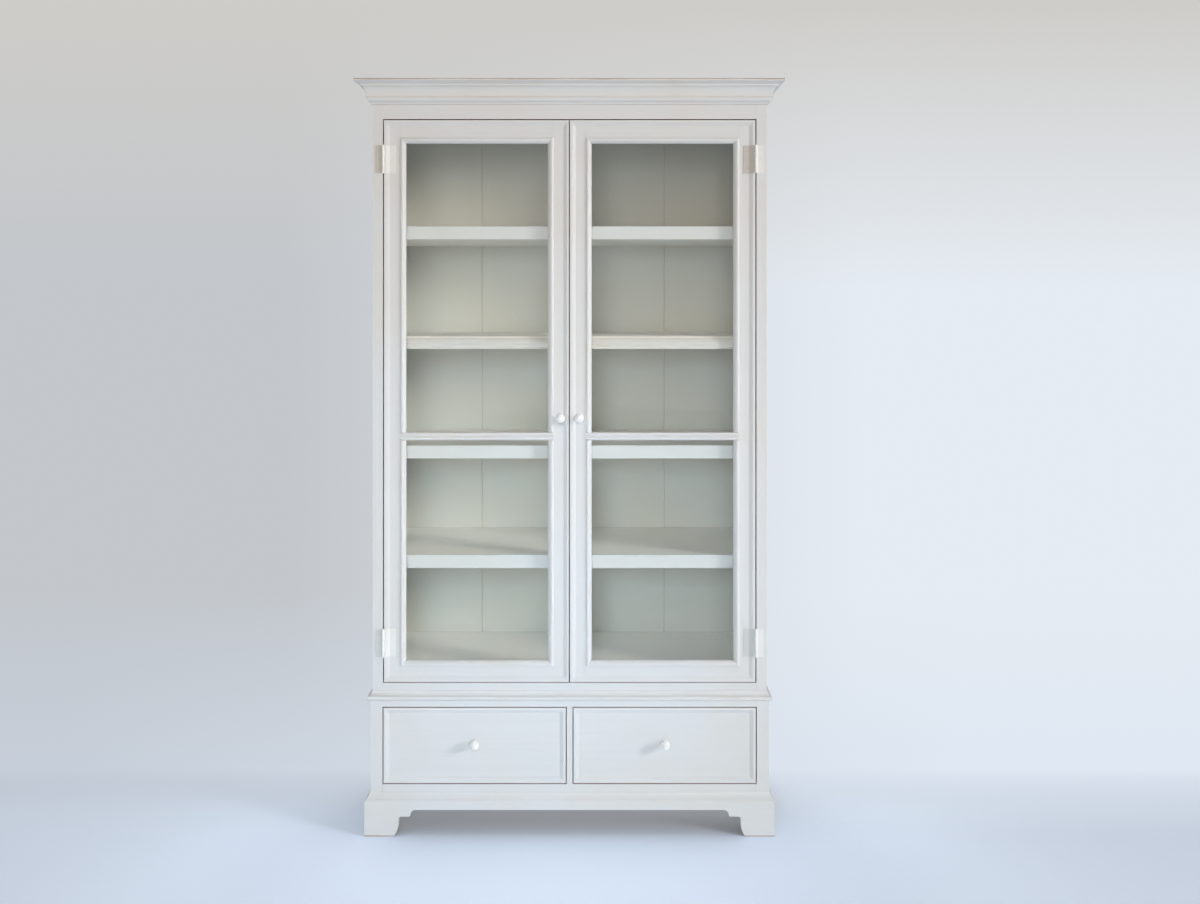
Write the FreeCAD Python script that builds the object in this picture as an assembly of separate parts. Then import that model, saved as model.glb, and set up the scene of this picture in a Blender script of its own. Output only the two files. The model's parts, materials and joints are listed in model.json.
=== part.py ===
# Display cabinet: a glazed two-door case standing on a chest of two drawers, in painted softwood.
# Millimetres. +X is right, +Y is back, +Z is up, and the front faces -Y.
# The origin is on the floor, in the middle of the overall width and depth.
import FreeCAD, Part
import math
import os

V = FreeCAD.Vector

# Carcass sizes
overall_height = 2057
upper_width = 1078
upper_depth = 415
chest_overhang = 5
side_thickness = 20
face_frame_thickness = 22
upper_stile_width = 28

# Heights from the floor up
case_base = 96
bottom_rail_height = 40
drawer_opening_height = 211
lower_top_rail_height = 19.5
upper_bottom_rail_height = 44.5
floor_rise = 19
lowest_compartment = 288
top_compartment = 291.5
frieze_rail_height = 86
top_thickness = 18

# Boards inside the carcass
shelf_count = 4
shelf_thickness = 36
shelf_setback = 28
housing_depth = 8
floor_thickness = 20
door_stop_gap = 0.5
chest_board_thickness = 18
partition_thickness = 16
moulded_shelf_lip = 18
moulded_shelf_slope = 14
moulded_shelf_rise = 2
moulded_shelf_hollow = 1.5
moulded_shelf_hollow_height = 9

# Tongued back boards
back_thickness = 12
back_rebate = 10
back_inner_board_width = 282
back_tongue_length = 6
back_tongue_thickness = 4
back_tongue_clearance = 0.5
back_joint_chamfer = 2

# Cornice, from the frieze up: projection and height of each member
cornice_base_projection = 4
cornice_base_height = 5.5
cornice_ovolo_projection = 13
cornice_ovolo_height = 8.5
cornice_ovolo_rise = 2.5
cornice_step = 3
cornice_step_height = 4
cornice_cove_projection = 25
cornice_cove_height = 28
cornice_cove_hollow = 4
cornice_fillet_projection = 28
cornice_fillet_height = 6
cornice_projection = 43
cornice_soffit_height = 5
cornice_edge_height = 7

# Waist moulding between the two carcasses
waist_projection = 14
waist_foot_projection = 12
waist_foot_height = 3
waist_bead_projection = 11
waist_bead_height = 8
waist_bead_rise = 1.2
waist_step = 1.5
waist_cove_height = 13
waist_cove_hollow = 2.5
waist_top_edge = 1

# Plinth with bracket feet and a moulded top edge
plinth_thickness = 26
plinth_overhang = 14
plinth_face_height = 90
plinth_round_height = 7
plinth_round_inset = 2.5
plinth_round_rise = 0.8
plinth_hollow_height = 18
plinth_hollow_depth = 1.5
plinth_top_edge = 1
foot_floor_width = 80
foot_full_width = 92
foot_curve_height = 28
foot_curve_rise = 2.6
bracket_corner_radius = 8
bracket_step_height = 54
bracket_step_length = 21
bracket_nose_radius = 4
bracket_arch_radius = 14
block_size = 40

# Glazed doors
door_gap = 3
door_foot_gap = 2
meeting_bevel = 1.8
door_thickness = 22
door_stile_width = 59.5
door_top_rail_width = 63
door_bottom_rail_width = 57
border_width = 7
border_slope = 9
panel_recess = 5
bead_width = 16
bead_crest_offset = 5
bead_crest_depth = 1
bead_edge_depth = 9.5
bead_shoulder_rise = 1
bead_fall_rise = 1.8
glass_depth = 12
glass_thickness = 3
glass_clearance = 1
rebate_width = 10
glazing_strip_width = 7
glazing_bar_height = 21
glazing_bar_centre = 671.5
glazing_bar_tongue = 7
reed_depth = 5
reed_rise = 3.5
reed_quirk = 2

# Surface hinges
hinge_inset = 107
hinge_leaf_height = 76
hinge_leaf_thickness = 2
hinge_frame_leaf_width = 19
hinge_door_leaf_width = 31
hinge_barrel_radius = 3.5
hinge_knuckles = 5
hinge_clearance = 0.3
pin_radius = 1.75
pin_clearance = 0.04
pin_head_radius = 3.2
pin_head_height = 1.5
screw_spacing = 25
screw_head_radius = 3.5
screw_shank_radius = 1.75
screw_length = 15
screw_clearance = 0.05
screw_slot_width = 0.9
screw_slot_depth = 0.7
frame_screw_offset = 10.5
door_screw_offset = 23.5

# Turned knobs
knob_radius = 13.5
knob_reach = 34
knob_rim_height = 19.5
knob_under_radius = 11
knob_under_height = 14.5
knob_rim_rise = 0.8
knob_neck_radius = 6.5
knob_neck_height = 10
knob_neck_hollow = 1.2
knob_collar_radius = 8.5
knob_collar_height = 2.5
spigot_radius = 4.95
spigot_length = 11
spigot_clearance = 0.05
door_knob_offset = 25
door_knob_height = 723
drawer_knob_rise = 6

# Drawers
drawer_gap = 2.5
drawer_rear_room = 28
drawer_front_thickness = 20
drawer_wall_thickness = 12
drawer_wall_height = 165
drawer_wall_inset = 1
drawer_lap = 9
drawer_back_drop = 12
drawer_bottom_thickness = 6
drawer_bottom_rise = 10
drawer_groove_depth = 6
running_clearance = 0.3
runner_ledge = 20
runner_guide_height = 26
runner_stop_height = 20

# Planes and levels worked out from the sizes above
overall_depth = upper_depth + cornice_projection
y_back = overall_depth / 2
y_face = y_back - upper_depth
y_chest = y_face - chest_overhang
y_boards = y_back - back_thickness
upper_half = upper_width / 2
lower_half = upper_half + chest_overhang
opening_half = upper_half - upper_stile_width
partition_half = partition_thickness / 2

z_drawers = case_base + bottom_rail_height
z_drawers_top = z_drawers + drawer_opening_height
z_chest_top = z_drawers_top + lower_top_rail_height
z_doors = z_chest_top + upper_bottom_rail_height
z_floor = z_doors + floor_rise
z_case_top = overall_height - top_thickness
z_doors_top = z_case_top - frieze_rail_height
lowest_shelf = z_floor + lowest_compartment + shelf_thickness
highest_shelf = z_doors_top - top_compartment
shelf_pitch = (highest_shelf - lowest_shelf) / (shelf_count - 1)
shelf_tops = [lowest_shelf + n * shelf_pitch for n in range(shelf_count)]
moulded_shelf = shelf_count - 2

door_left = -opening_half + door_gap
door_right = (meeting_bevel - door_gap) / 2
door_bottom = z_doors + door_foot_gap
door_top = z_doors_top - door_gap
bead_left = door_left + door_stile_width - bead_width
bead_right = door_right - door_stile_width + bead_width
bead_bottom = door_bottom + door_bottom_rail_width - bead_width
bead_top = door_top - door_top_rail_width + bead_width
rebate_start = bead_width - rebate_width
bar_level = door_bottom + glazing_bar_centre
hinge_levels = [door_bottom + hinge_inset, door_top - hinge_inset]
barrel_x = -opening_half + door_gap / 2
barrel_y = y_face - hinge_barrel_radius

drawer_left = -opening_half + drawer_gap
drawer_right = -partition_half - drawer_gap
drawer_bottom = z_drawers + drawer_gap
drawer_top = z_drawers_top - drawer_gap
drawer_rear = y_boards - drawer_rear_room
runner_top = drawer_bottom - running_clearance
z_chest_floor = case_base + chest_board_thickness

os.makedirs("parts", exist_ok=True)


def export(name, *solids):
    """Write one node, a single solid or a group of separate solids."""
    shape = solids[0] if len(solids) == 1 else Part.makeCompound(list(solids))
    shape.exportStep("parts/" + name + ".step")


def only(shape):
    """The one solid that a cut or a join leaves, with its split faces merged."""
    return shape.removeSplitter().Solids[0]


def mirrored(shape):
    """The same piece on the other side of the cabinet."""
    return shape.mirror(V(0, 0, 0), V(1, 0, 0))


def block(x0, x1, y0, y1, z0, z1):
    """A squared board between two opposite corners."""
    return Part.makeBox(x1 - x0, y1 - y0, z1 - z0, V(x0, y0, z0))


def arc_middle(start, end, rise):
    """The middle point of an arc that bows to the left of its chord by rise."""
    run = (end[0] - start[0], end[1] - start[1])
    chord = math.hypot(*run)
    left = (-run[1] / chord, run[0] / chord)
    return [(start[i] + end[i]) / 2 + left[i] * rise for i in (0, 1)]


def profile(path, place):
    """A face from points; a point with a third number is reached by an arc of that rise."""
    edges = []
    for start, step in zip(path, path[1:] + path[:1]):
        first = place(start[0], start[1])
        last = place(step[0], step[1])
        if len(step) == 3:
            edges.append(Part.Arc(first, place(*arc_middle(start, step, step[2])), last).toShape())
        else:
            edges.append(Part.makeLine(first, last))
    return Part.Face(Part.Wire(edges))


def prism(path, place, run):
    """A profile drawn out along a vector."""
    return profile(path, place).extrude(run)


def upright(path, z0, z1):
    """A plan shape in X and Y drawn up from one level to another."""
    return prism(path, lambda x, y: V(x, y, z0), V(0, 0, z1 - z0))


def frontal(path, y0, y1):
    """A front-view shape in X and Z drawn back from one plane to another."""
    return prism(path, lambda x, z: V(x, y0, z), V(0, y1 - y0, 0))


def mitred_run(path, base, half_width, front):
    """A moulding round the front and both sides: its front length and its two returns."""
    inner = min(point[0] for point in path)
    outer = max(point[0] for point in path)
    height = max(point[1] for point in path)
    corner_in = (half_width + inner, front - inner)
    corner_out = (half_width + outer, front - outer)
    front_bar = prism(path, lambda p, z: V(-corner_out[0], front - p, base + z), V(2 * corner_out[0], 0, 0))
    front_plan = [corner_in, corner_out, (-corner_out[0], corner_out[1]), (-corner_in[0], corner_in[1])]
    side_run = V(0, y_back - corner_out[1], 0)
    side_bar = prism(path, lambda p, z: V(half_width + p, corner_out[1], base + z), side_run)
    side_plan = [corner_in, corner_out, (corner_out[0], y_back), (corner_in[0], y_back)]
    front_piece = only(front_bar.common(upright(front_plan, base, base + height)))
    right_piece = only(side_bar.common(upright(side_plan, base, base + height)))
    return front_piece, mirrored(right_piece), right_piece


def back_boards(half_width, z0, z1):
    """Four upright boards, tongued together, with chamfered joints on the inside."""
    joints = [-half_width, -back_inner_board_width, 0, back_inner_board_width, half_width]
    chamfer = back_joint_chamfer
    middle = (y_boards + y_back) / 2
    tongue_front = middle - back_tongue_thickness / 2
    tongue_rear = middle + back_tongue_thickness / 2
    groove_depth = back_tongue_length + back_tongue_clearance
    boards = []
    for left, right in zip(joints, joints[1:]):
        path = [(left, y_back)]
        if left == -half_width:
            path += [(left, y_boards)]
        else:
            path += [(left, tongue_rear), (left + groove_depth, tongue_rear)]
            path += [(left + groove_depth, tongue_front), (left, tongue_front)]
            path += [(left, y_boards + chamfer), (left + chamfer, y_boards)]
        if right == half_width:
            path += [(right, y_boards)]
        else:
            path += [(right - chamfer, y_boards), (right, y_boards + chamfer), (right, tongue_front)]
            path += [(right + back_tongue_length, tongue_front), (right + back_tongue_length, tongue_rear)]
            path += [(right, tongue_rear)]
        path += [(right, y_back)]
        boards.append(upright(path, z0, z1))
    return boards


def side_board(half_width, front, z0, z1):
    """A left side board, rebated at its rear edge for the back boards."""
    inside = -half_width + side_thickness
    board = block(-half_width, inside, front + face_frame_thickness, y_back, z0, z1)
    return board.cut(block(-half_width + back_rebate, inside, y_boards, y_back, z0, z1))


def shelf_path(top, moulded):
    """The end view of a shelf in Y and Z, with a square or a moulded front edge."""
    front = y_face + shelf_setback
    bottom = top - shelf_thickness
    if not moulded:
        return [(front, bottom), (y_boards, bottom), (y_boards, top), (front, top)]
    lip = bottom + moulded_shelf_lip
    hollow_low = bottom + (moulded_shelf_lip - moulded_shelf_hollow_height) / 2
    hollow_high = hollow_low + moulded_shelf_hollow_height
    return [(front, bottom), (y_boards, bottom), (y_boards, top),
            (front + moulded_shelf_slope, top), (front, lip, -moulded_shelf_rise),
            (front, hollow_high), (front, hollow_low, moulded_shelf_hollow)]


def shelf(top, moulded):
    """A shelf with its ends housed in the sides."""
    half = upper_half - side_thickness + housing_depth
    return prism(shelf_path(top, moulded), lambda y, z: V(-half, y, z), V(2 * half, 0, 0))


def make_upper_case():
    """Sides, face frame, top, floor, back, shelves and cornice."""
    inside = upper_half - side_thickness
    housed = inside + housing_depth
    stop_edge = y_face + face_frame_thickness + door_stop_gap
    floor = block(-housed, housed, stop_edge, y_boards, z_floor - floor_thickness, z_floor)
    shelves = [shelf(top, n == moulded_shelf) for n, top in enumerate(shelf_tops)]
    left_side = side_board(upper_half, y_face, z_chest_top, z_case_top)
    for board in [floor] + shelves:
        left_side = left_side.cut(board)
    left_side = only(left_side)
    export("upper_left_side", left_side)
    export("upper_right_side", mirrored(left_side))
    export("upper_floor_board", floor)
    for n, board in enumerate(reversed(shelves)):
        export("shelf_%d" % (n + 1), board)

    frame_back = y_face + face_frame_thickness
    export("upper_bottom_rail", block(-opening_half, opening_half, y_face, frame_back, z_chest_top, z_doors))
    export("frieze_rail", block(-opening_half, opening_half, y_face, frame_back, z_doors_top, z_case_top))
    export("upper_top_board", block(-upper_half, upper_half, y_face, y_back, z_case_top, overall_height))
    export("upper_back_boards", *back_boards(upper_half - back_rebate, z_chest_top, z_case_top))

    ovolo_top = cornice_base_height + cornice_ovolo_height
    cove_foot = ovolo_top + cornice_step_height
    cove_top = cove_foot + cornice_cove_height
    soffit = cove_top + cornice_fillet_height
    edge = soffit + cornice_soffit_height
    height = edge + cornice_edge_height
    path = [(0, 0), (cornice_base_projection, 0), (cornice_base_projection, cornice_base_height),
            (cornice_ovolo_projection, ovolo_top, -cornice_ovolo_rise),
            (cornice_ovolo_projection, cove_foot), (cornice_ovolo_projection + cornice_step, cove_foot),
            (cornice_cove_projection, cove_top, cornice_cove_hollow),
            (cornice_fillet_projection, cove_top), (cornice_fillet_projection, soffit),
            (cornice_projection, edge), (cornice_projection, height), (0, height)]
    export("cornice", *mitred_run(path, overall_height - height, upper_half, y_face))


def make_lower_case():
    """The chest's carcass, its drawer runners and the waist moulding above it."""
    inside = lower_half - side_thickness
    frame_back = y_chest + face_frame_thickness
    left_side = only(side_board(lower_half, y_chest, case_base, z_chest_top))
    left_stile = block(-lower_half, -opening_half, y_chest, frame_back, case_base, z_chest_top)
    export("lower_left_side", left_side)
    export("lower_right_side", mirrored(left_side))
    export("lower_left_stile", left_stile)
    export("lower_right_stile", mirrored(left_stile))
    top_rail = block(-opening_half, opening_half, y_chest, frame_back, z_drawers_top, z_chest_top)
    bottom_rail = block(-opening_half, opening_half, y_chest, frame_back, case_base, z_drawers)
    export("lower_top_rail", top_rail)
    export("lower_bottom_rail", bottom_rail)
    ceiling = z_chest_top - chest_board_thickness
    export("lower_top_board", block(-inside, inside, frame_back, y_boards, ceiling, z_chest_top))
    export("lower_bottom_board", block(-inside, inside, frame_back, y_boards, case_base, z_chest_floor))
    export("lower_back_boards", *back_boards(lower_half - back_rebate, case_base, z_chest_top))

    partition = [(y_chest, z_drawers), (frame_back, z_drawers), (frame_back, z_chest_floor),
                 (y_boards, z_chest_floor), (y_boards, ceiling), (frame_back, ceiling),
                 (frame_back, z_drawers_top), (y_chest, z_drawers_top)]
    thickness = V(partition_thickness, 0, 0)
    export("drawer_partition", prism(partition, lambda y, z: V(-partition_half, y, z), thickness))

    ledge_end = -opening_half + runner_ledge
    outer = block(-inside, ledge_end, frame_back, y_boards, z_chest_floor, runner_top)
    guide_top = runner_top + runner_guide_height
    outer = outer.fuse(block(-inside, -opening_half, frame_back, y_boards, z_chest_floor, guide_top))
    inner_edge = -partition_half - runner_ledge
    inner = block(inner_edge, -partition_half, frame_back, y_boards, z_chest_floor, runner_top)
    stop_front = drawer_rear + running_clearance
    stop_top = runner_top + runner_stop_height
    outer = outer.fuse(block(-opening_half, ledge_end, stop_front, y_boards, z_chest_floor, stop_top))
    inner = inner.fuse(block(inner_edge, -partition_half, stop_front, y_boards, runner_top, stop_top))
    runners = [only(outer), only(inner)]
    export("drawer_runners", *runners, *[mirrored(runner) for runner in runners])

    bead_top = waist_foot_height + waist_bead_height
    cove_foot = waist_bead_projection - waist_step
    height = bead_top + waist_cove_height
    path = [(0, 0), (waist_foot_projection, 0), (waist_projection, waist_foot_height),
            (waist_bead_projection, bead_top, -waist_bead_rise), (cove_foot, bead_top),
            (waist_top_edge, height, waist_cove_hollow), (0, height)]
    export("waist_moulding", *mitred_run(path, z_chest_top, upper_half, y_face))


def bracket_arch(start, end):
    """The opening between two bracket feet, along a board that runs from start to end."""
    corner = foot_full_width + bracket_corner_radius
    nose = corner + bracket_step_length
    arch = nose + bracket_nose_radius
    crown = bracket_step_height + bracket_nose_radius + bracket_arch_radius
    round_share = 1 - math.sqrt(0.5)
    half = [(foot_floor_width, 0),
            (foot_full_width, foot_curve_height, -foot_curve_rise),
            (foot_full_width, bracket_step_height - bracket_corner_radius),
            (corner, bracket_step_height, bracket_corner_radius * round_share),
            (nose, bracket_step_height),
            (arch, bracket_step_height + bracket_nose_radius, -bracket_nose_radius * round_share),
            (arch + bracket_arch_radius, crown, bracket_arch_radius * round_share)]
    far = []
    bend = ()
    for point in reversed(half):
        far.append((end - point[0], point[1]) + bend)
        bend = point[2:]
    near = [(start + point[0],) + point[1:] for point in half]
    return near + far


def make_plinth():
    """Front and side boards with bracket feet, and the blocks that stiffen their corners."""
    inner = plinth_overhang - plinth_thickness
    round_top = plinth_face_height + plinth_round_height
    height = round_top + plinth_hollow_height
    path = [(inner, 0), (plinth_overhang, 0), (plinth_overhang, plinth_face_height),
            (plinth_overhang - plinth_round_inset, round_top, -plinth_round_rise),
            (plinth_top_edge, height, plinth_hollow_depth), (0, height), (0, case_base), (inner, case_base)]
    front, left, right = mitred_run(path, 0, lower_half, y_chest)
    outer_half = lower_half + plinth_overhang
    outer_face = y_chest - plinth_overhang
    front_arch = frontal(bracket_arch(-outer_half, outer_half), outer_face, outer_face + plinth_thickness)
    side_path = bracket_arch(outer_face, y_back)
    side_arch = prism(side_path, lambda y, z: V(-outer_half, y, z), V(plinth_thickness, 0, 0))
    left = only(left.cut(side_arch))
    export("plinth_front", only(front.cut(front_arch)))
    export("plinth_sides", left, mirrored(left))

    x_inside = -outer_half + plinth_thickness
    y_inside = outer_face + plinth_thickness
    corners = [block(x_inside, x_inside + block_size, y0, y0 + block_size, 0, case_base)
               for y0 in (y_inside, y_back - block_size)]
    export("plinth_blocks", *corners, *[mirrored(corner) for corner in corners])


def moulded_panel(x0, x1, z0, z1, front, thickness):
    """A panel with a flat border that slopes down to a recessed flat."""
    blank = block(x0, x1, front, front + thickness, z0, z1)
    rims = []
    for inset, depth in ((border_width, 0), (border_width + border_slope, panel_recess)):
        y = front + depth
        left, right = x0 + inset, x1 - inset
        low, high = z0 + inset, z1 - inset
        corners = [V(left, y, low), V(right, y, low), V(right, y, high), V(left, y, high)]
        rims.append(Part.makePolygon(corners + corners[:1]))
    return blank.cut(Part.makeLoft(rims, True, True))


def door_frame():
    """The left door's frame as one ring: moulded panel, and the mitred bead with its glass rebate."""
    y_rear = y_face + door_thickness
    ring = moulded_panel(door_left, door_right, door_bottom, door_top, y_face, door_thickness)
    ring = ring.cut(block(bead_left, bead_right, y_face, y_rear, bead_bottom, bead_top))
    path = [(0, panel_recess), (bead_crest_offset, bead_crest_depth, -bead_shoulder_rise),
            (bead_width, bead_edge_depth, -bead_fall_rise), (bead_width, glass_depth),
            (rebate_start, glass_depth), (rebate_start, door_thickness), (0, door_thickness)]
    across = V(bead_right - bead_left, 0, 0)
    along = V(0, 0, bead_top - bead_bottom)
    bars = [
        (lambda u, v: V(bead_left + u, y_face + v, bead_bottom), along),
        (lambda u, v: V(bead_left, y_face + v, bead_top - u), across),
        (lambda u, v: V(bead_right - u, y_face + v, bead_bottom), along),
        (lambda u, v: V(bead_left, y_face + v, bead_bottom + u), across),
    ]
    b = bead_width
    outer = [(bead_left, bead_bottom), (bead_left, bead_top),
             (bead_right, bead_top), (bead_right, bead_bottom)]
    inner = [(bead_left + b, bead_bottom + b), (bead_left + b, bead_top - b),
             (bead_right - b, bead_top - b), (bead_right - b, bead_bottom + b)]
    for n, (place, run) in enumerate(bars):
        m = (n + 1) % len(bars)
        mitre = frontal([outer[n], outer[m], inner[m], inner[n]], y_face, y_rear)
        ring = ring.fuse(prism(path, place, run).common(mitre))
    return only(ring)


def glazing_bar():
    """The left door's level bar: two reeds in front and a tongue between the panes."""
    half = glazing_bar_height / 2
    tongue = glazing_bar_tongue / 2
    quirk = reed_quirk / 2
    path = [(-half, glass_depth), (-half, reed_depth), (-quirk, reed_depth, -reed_rise),
            (quirk, reed_depth), (half, reed_depth, -reed_rise), (half, glass_depth),
            (tongue, glass_depth), (tongue, door_thickness),
            (-tongue, door_thickness), (-tongue, glass_depth)]
    return prism(path, lambda t, v: V(bead_left, y_face + v, bar_level + t), V(bead_right - bead_left, 0, 0))


def bar_housing(bar):
    """The room a stile leaves for the level bar, open to the front."""
    half = glazing_bar_height / 2
    low, high = bar_level - half, bar_level + half
    return bar.fuse(block(bead_left, bead_right, y_face, y_face + glass_depth, low, high))


def screw(x, y, z, clearance):
    """A countersunk screw driven towards the back, or with a clearance the hole for it."""
    drive = V(0, 1, 0)
    head_length = hinge_leaf_thickness
    shank_length = screw_length - head_length + clearance
    head_radius = screw_head_radius + clearance
    shank_radius = screw_shank_radius + clearance
    head = Part.makeCone(head_radius, shank_radius, head_length, V(x, y, z), drive)
    shank = Part.makeCylinder(shank_radius, shank_length, V(x, y + head_length, z), drive)
    whole = head.fuse(shank)
    if clearance == 0:
        reach = screw_head_radius
        half = screw_slot_width / 2
        whole = whole.cut(block(x - reach, x + reach, y, y + screw_slot_depth, z - half, z + half))
    return only(whole)


def knuckle_span(level, n):
    """The lower and upper level of one knuckle of the hinge at this height."""
    pitch = hinge_leaf_height / hinge_knuckles
    bottom = level - hinge_leaf_height / 2 + n * pitch
    return bottom, bottom + pitch


def barrel(radius, z0, z1):
    """A cylinder on the left hinge's axis."""
    return Part.makeCylinder(radius, z1 - z0, V(barrel_x, barrel_y, z0))


def hinge_leaf(path, level, first):
    """A leaf from its plan shape, keeping every second knuckle from the first."""
    half = hinge_leaf_height / 2
    leaf = upright(path, level - half, level + half)
    for n in range(hinge_knuckles):
        z0, z1 = knuckle_span(level, n)
        if n % 2 == first:
            low = z0 if n == 0 else z0 + hinge_clearance / 2
            high = z1 if n == hinge_knuckles - 1 else z1 - hinge_clearance / 2
            leaf = leaf.fuse(barrel(hinge_barrel_radius, low, high))
        else:
            room = hinge_clearance / 2
            leaf = leaf.cut(barrel(hinge_barrel_radius + hinge_clearance, z0 - room, z1 + room))
    return leaf.cut(barrel(pin_radius + pin_clearance, level - half, level + half))


def frame_leaf(level):
    """The leaf that lies on the face stile."""
    near = -opening_half - hinge_frame_leaf_width
    front = y_face - hinge_leaf_thickness
    return hinge_leaf([(near, front), (barrel_x, front), (barrel_x, y_face), (near, y_face)], level, 0)


def door_leaf(level):
    """The leaf that follows the door's border down its slope to the flat."""
    border = door_left + border_width
    flat = border + border_slope
    end = door_left + hinge_door_leaf_width
    y_flat = y_face + panel_recess
    surface = [(barrel_x, y_face), (border, y_face), (flat, y_flat), (end, y_flat)]
    outside = [(x, y - hinge_leaf_thickness) for x, y in reversed(surface)]
    return hinge_leaf(surface + outside, level, 1)


def hinge_pin(level):
    """A pin with a low head above the top knuckle."""
    half = hinge_leaf_height / 2
    shank = barrel(pin_radius, level - half, level + half)
    return only(shank.fuse(barrel(pin_head_radius, level + half, level + half + pin_head_height)))


def knob_hole(x, seat, z):
    """The hole for a knob's spigot."""
    radius = spigot_radius + spigot_clearance
    return Part.makeCylinder(radius, spigot_length + spigot_clearance, V(x, seat, z), V(0, 1, 0))


def knob(x, seat, z):
    """A turned knob on its seat, with the spigot that holds it."""
    end = seat + spigot_length
    dome = knob_reach - knob_rim_height
    ball = (knob_radius ** 2 + dome ** 2) / (2 * dome)
    dome_rise = ball - math.sqrt(ball ** 2 - (knob_radius ** 2 + dome ** 2) / 4)
    path = [(0, end), (spigot_radius, end), (spigot_radius, seat), (knob_collar_radius, seat),
            (knob_collar_radius, seat - knob_collar_height),
            (knob_neck_radius, seat - knob_neck_height, -knob_neck_hollow),
            (knob_under_radius, seat - knob_under_height),
            (knob_radius, seat - knob_rim_height, knob_rim_rise),
            (0, seat - knob_reach, dome_rise)]
    face = profile(path, lambda r, y: V(x + r, y, z))
    return face.revolve(V(x, seat, z), V(0, 1, 0), 360)


def screw_levels(level):
    """The heights of a leaf's three screws."""
    return [level + n * screw_spacing for n in (-1, 0, 1)]


def make_doors():
    """Both doors, the face stiles that carry them and the hinges between."""
    ring = door_frame()
    bar = glazing_bar()
    knob_x = door_right - door_knob_offset
    knob_z = door_bottom + door_knob_height
    knob_seat = y_face + panel_recess
    b = bead_width
    front, back = y_face, y_face + door_thickness
    hinge_region = [(door_left, door_bottom), (bead_left, door_bottom), (bead_left, bead_bottom),
                    (bead_left + b, bead_bottom + b), (bead_left + b, bead_top - b), (bead_left, bead_top),
                    (bead_left, door_top), (door_left, door_top)]
    meeting_region = [(door_left + door_right - x, z) for x, z in hinge_region]
    rail_region = [(bead_left, door_bottom), (bead_right, door_bottom),
                   (bead_right, bead_bottom), (bead_right - b, bead_bottom + b),
                   (bead_left + b, bead_bottom + b), (bead_left, bead_bottom)]
    top_region = [(bead_left, door_top), (bead_right, door_top),
                  (bead_right, bead_top), (bead_right - b, bead_top - b),
                  (bead_left + b, bead_top - b), (bead_left, bead_top)]
    housing = bar_housing(bar)
    hinge_stile = ring.common(frontal(hinge_region, front, back)).cut(housing)
    meeting_stile = ring.common(frontal(meeting_region, front, back)).cut(housing)
    meeting_stile = meeting_stile.cut(knob_hole(knob_x, knob_seat, knob_z))
    bevelled = door_right - meeting_bevel
    left_slope = upright([(door_right, front), (door_right, back), (bevelled, front)], door_bottom, door_top)
    right_slope = upright([(door_right, front), (door_right, back), (bevelled, back)], door_bottom, door_top)
    export("left_door_meeting_stile", only(meeting_stile.cut(left_slope)))
    export("right_door_meeting_stile", mirrored(only(meeting_stile.cut(right_slope))))

    door_screw_x = door_left + door_screw_offset
    door_screw_y = knob_seat - hinge_leaf_thickness
    frame_screw_x = -opening_half - frame_screw_offset
    frame_screw_y = y_face - hinge_leaf_thickness
    stile_back = y_face + face_frame_thickness
    face_stile = block(-upper_half, -opening_half, y_face, stile_back, z_chest_top, z_case_top)
    door_leaves, frame_leaves, door_screws, frame_screws = [], [], [], []
    for level in hinge_levels:
        leaf_on_door = door_leaf(level)
        leaf_on_frame = frame_leaf(level)
        for z in screw_levels(level):
            door_screws.append(screw(door_screw_x, door_screw_y, z, 0))
            frame_screws.append(screw(frame_screw_x, frame_screw_y, z, 0))
            door_hole = screw(door_screw_x, door_screw_y, z, screw_clearance)
            frame_hole = screw(frame_screw_x, frame_screw_y, z, screw_clearance)
            leaf_on_door = leaf_on_door.cut(door_hole)
            hinge_stile = hinge_stile.cut(door_hole)
            leaf_on_frame = leaf_on_frame.cut(frame_hole)
            face_stile = face_stile.cut(frame_hole)
        door_leaves.append(only(leaf_on_door))
        frame_leaves.append(only(leaf_on_frame))
    pins = [hinge_pin(level) for level in hinge_levels]

    x0, x1 = bead_left + rebate_start, bead_right - rebate_start
    tongue = glazing_bar_tongue / 2
    lights = [(bead_bottom + rebate_start, bar_level - tongue), (bar_level + tongue, bead_top - rebate_start)]
    glass_front = y_face + glass_depth
    glass_back = glass_front + glass_thickness
    c = glass_clearance
    panes = [block(x0 + c, x1 - c, glass_front, glass_back, z0 + c, z1 - c) for z0, z1 in lights]
    g = glazing_strip_width
    strips = []
    for z0, z1 in lights:
        strips.append(block(x0, x0 + g, glass_back, back, z0, z1))
        strips.append(block(x1 - g, x1, glass_back, back, z0, z1))
        strips.append(block(x0 + g, x1 - g, glass_back, back, z0, z0 + g))
        strips.append(block(x0 + g, x1 - g, glass_back, back, z1 - g, z1))

    pieces = {
        "hinge_stile": [only(hinge_stile)],
        "top_rail": [only(ring.common(frontal(top_region, front, back)))],
        "bottom_rail": [only(ring.common(frontal(rail_region, front, back)))],
        "glazing_bar": [bar],
        "panes": panes,
        "glazing_strips": strips,
        "knob": [knob(knob_x, knob_seat, knob_z)],
        "hinge_leaves": door_leaves,
        "hinge_screws": door_screws,
    }
    for name, solids in pieces.items():
        export("left_door_" + name, *solids)
        export("right_door_" + name, *[mirrored(solid) for solid in solids])
    face_stile = only(face_stile)
    export("upper_left_stile", face_stile)
    export("upper_right_stile", mirrored(face_stile))
    on_case = {"hinge_frame_leaves": frame_leaves, "hinge_pins": pins, "hinge_frame_screws": frame_screws}
    for name, solids in on_case.items():
        export(name, *solids, *[mirrored(solid) for solid in solids])


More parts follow.
